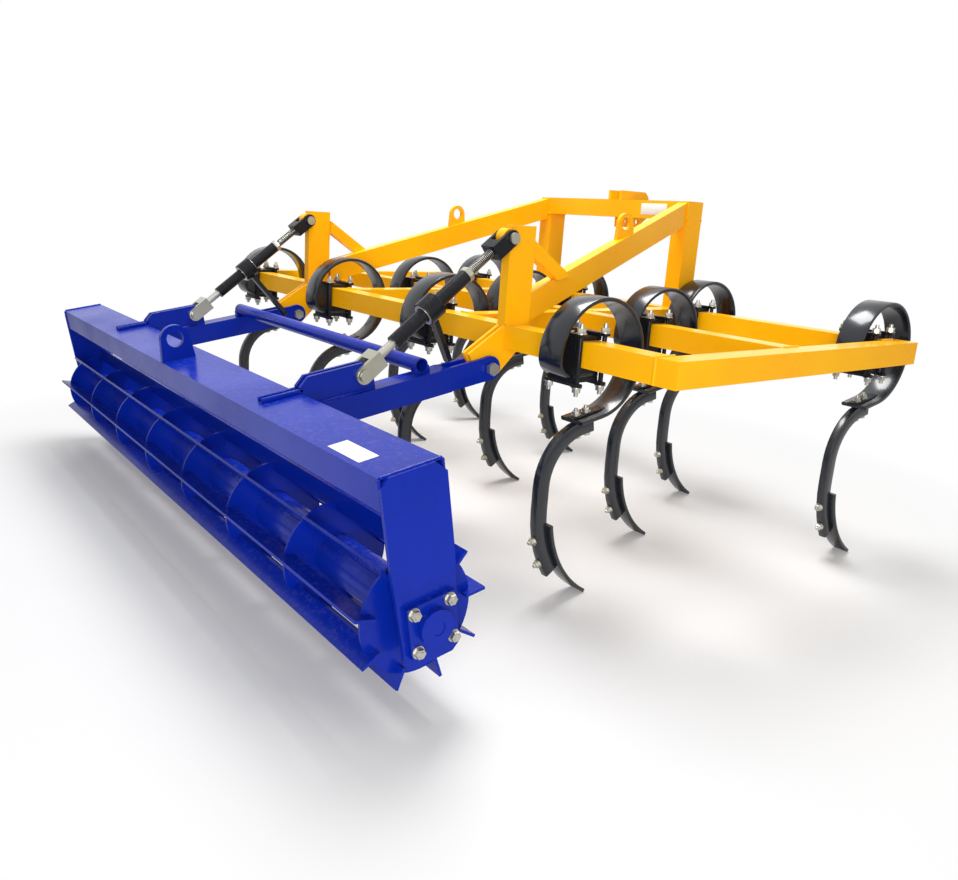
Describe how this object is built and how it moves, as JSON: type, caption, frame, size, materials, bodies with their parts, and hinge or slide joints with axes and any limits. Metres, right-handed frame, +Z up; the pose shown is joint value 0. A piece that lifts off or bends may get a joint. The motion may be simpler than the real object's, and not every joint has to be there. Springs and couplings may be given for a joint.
{
  "type": "spring tine scarifier with rear roller",
  "caption": "Mounted cultivator: welded box frame with mast, C-spring tines on cross beams, and a hinged rear roller of discs and bars held by two ratchet links.",
  "frame": {"origin": "on the floor, under the middle of the machine's box", "axes": "+X across the machine to its right side, +Y forward to the tractor, +Z up"},
  "size_m": [3.032, 2.4964, 1.3937],
  "materials": {
    "yellow_paint": "gloss",
    "blue_paint": "gloss",
    "black_paint": "gloss",
    "black_steel": "satin",
    "zinc": "zinc plated"
  },
  "bodies": {
    "frame": {"rear_beam": "yellow_paint", "middle_beam": "yellow_paint", "front_beam": "yellow_paint", "side_beams": "yellow_paint", "inner_beams": "yellow_paint", "beam_caps": "yellow_paint", "mast_uprights": "yellow_paint", "mast_top_beam": "yellow_paint", "mast_braces": "yellow_paint", "rear_posts": "yellow_paint", "post_struts": "yellow_paint", "arm_gussets": "yellow_paint", "top_link_bracket": "yellow_paint", "lower_hitch_brackets": "yellow_paint", "brace_eyes": "yellow_paint", "upper_link_pins": "zinc", "arm_pivot_pins": "zinc", "tine_clamps": "black_paint", "rear_springs": "black_steel", "middle_springs": "black_steel", "front_springs": "black_steel", "rear_shanks": "black_steel", "middle_shanks": "black_steel", "front_shanks": "black_steel", "tine_points": "black_steel"},
    "roller_frame": {"roller_crossbar": "blue_paint", "roller_end_plates": "blue_paint", "roller_arms": "blue_paint", "arm_cross_tube": "blue_paint", "link_lugs": "blue_paint", "lower_link_pins": "zinc", "bearing_housings": "black_paint", "crossbar_eye": "blue_paint"},
    "roller": {"roller_core": "blue_paint", "roller_discs": "blue_paint", "roller_bars": "blue_paint"},
    "right_link": {"right_upper_clevis": "black_paint", "right_barrel": "black_paint", "right_lever": "black_paint"},
    "right_link_rod": {"right_lower_clevis": "black_paint"},
    "left_link": {"left_upper_clevis": "black_paint", "left_barrel": "black_paint", "left_lever": "black_paint"},
    "left_link_rod": {"left_lower_clevis": "black_paint"}
  },
  "joints": [
    {"name": "roller_height", "type": "hinge", "parent": "frame", "child": "roller_frame", "pos_m": [0, -0.3498, 0.736], "axis": [1, 0, 0], "range_deg": [-8, 10]},
    {"name": "roller_spin", "type": "hinge", "parent": "roller_frame", "child": "roller", "pos_m": [0, -1.06039, 0.29664], "axis": [1, 0, 0], "continuous": true},
    {"name": "right_link_swing", "type": "hinge", "parent": "frame", "child": "right_link", "pos_m": [0.735, -0.2888, 1.168], "axis": [1, 0, 0], "range_deg": [-4.44, 5.53]},
    {"name": "right_link_length", "type": "slide", "parent": "right_link", "child": "right_link_rod", "axis": [0, -0.7893, -0.6139], "range_m": [-0.0422, 0.0527]},
    {"name": "left_link_swing", "type": "hinge", "parent": "frame", "child": "left_link", "pos_m": [-0.735, -0.2888, 1.168], "axis": [1, 0, 0], "range_deg": [-4.44, 5.53]},
    {"name": "left_link_length", "type": "slide", "parent": "left_link", "child": "left_link_rod", "axis": [0, -0.7893, -0.6139], "range_m": [-0.0422, 0.0527]}
  ],
  "couplings": [
    {"joint": "right_link_swing", "follows": "roller_height", "ratio": 0.5485},
    {"joint": "right_link_length", "follows": "roller_height", "m_per_rad": 0.29894},
    {"joint": "left_link_swing", "follows": "roller_height", "ratio": 0.5485},
    {"joint": "left_link_length", "follows": "roller_height", "m_per_rad": 0.29894}
  ]
}
